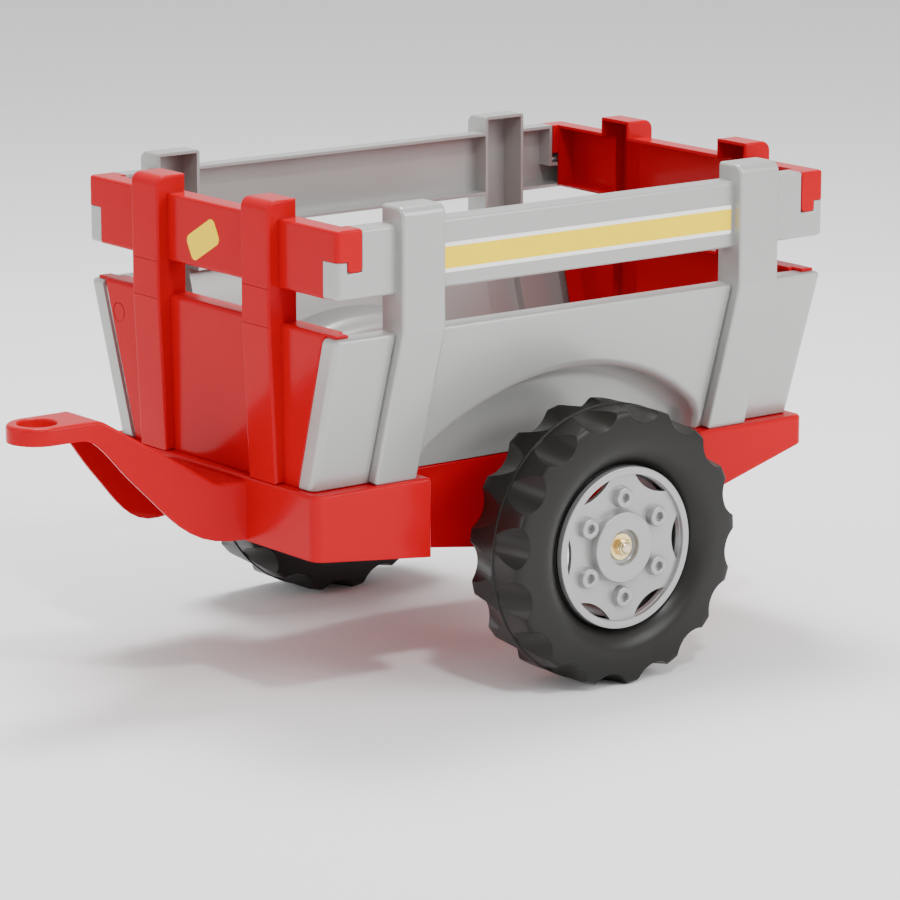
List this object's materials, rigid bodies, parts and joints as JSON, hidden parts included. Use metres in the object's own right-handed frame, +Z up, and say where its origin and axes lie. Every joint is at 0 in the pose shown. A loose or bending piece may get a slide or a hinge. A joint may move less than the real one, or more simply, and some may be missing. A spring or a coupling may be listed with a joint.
{
  "type": "child's farm trailer",
  "caption": "Towable child's farm trailer: moulded tray and drawbar, slatted side panels with wheel arches, lift-out front and tail boards, and lugged wheels on a steel axle.",
  "frame": {"origin": "middle of the trailer's bounding box at ground level", "axes": "+X forward to the drawbar eye, +Y to the left wheel, +Z up; the axle lies along Y"},
  "size_m": [0.766, 0.5, 0.444],
  "materials": {
    "red_plastic": "glossy moulded polyethylene, saturated red",
    "silver_plastic": "satin silver-grey moulded plastic with a fine metallic fleck",
    "tyre_black": "blow-moulded black tyre with a soft sheen",
    "axle_steel": "bright drawn steel",
    "brass_plate": "yellow-passivated steel, pale brass colour",
    "black_nylon": "matte nylon",
    "sticker": "yellow vinyl sticker"
  },
  "bodies": {
    "trailer": {"chassis_tray": "red_plastic", "side_panel_left": "silver_plastic", "side_panel_right": "silver_plastic", "axle_rod": "axle_steel", "axle_spacer_left": "black_nylon", "axle_spacer_right": "black_nylon", "axle_washer_left": "brass_plate", "axle_washer_right": "brass_plate", "lock_nut_left": "brass_plate", "lock_nut_right": "brass_plate", "stripe_left": "sticker", "stripe_right": "sticker"},
    "left_wheel": {"tyre_left": "tyre_black", "rim_left": "silver_plastic", "hub_bush_left": "black_nylon"},
    "right_wheel": {"tyre_right": "tyre_black", "rim_right": "silver_plastic", "hub_bush_right": "black_nylon"},
    "front_gate": {"front_board": "red_plastic", "front_badge": "sticker"},
    "tail_gate": {"tail_board": "red_plastic"}
  },
  "joints": [
    {"name": "left_wheel_spin", "type": "hinge", "parent": "trailer", "child": "left_wheel", "pos_m": [-0.09805, 0.2125, 0.125], "axis": [0, 1, 0], "continuous": true},
    {"name": "right_wheel_spin", "type": "hinge", "parent": "trailer", "child": "right_wheel", "pos_m": [-0.09805, -0.2125, 0.125], "axis": [0, 1, 0], "continuous": true},
    {"name": "front_board_lift", "type": "slide", "parent": "trailer", "child": "front_gate", "axis": [0, 0, 1], "range_m": [0, 0.03]},
    {"name": "tail_board_lift", "type": "slide", "parent": "trailer", "child": "tail_gate", "axis": [0, 0, 1], "range_m": [0, 0.03]}
  ]
}
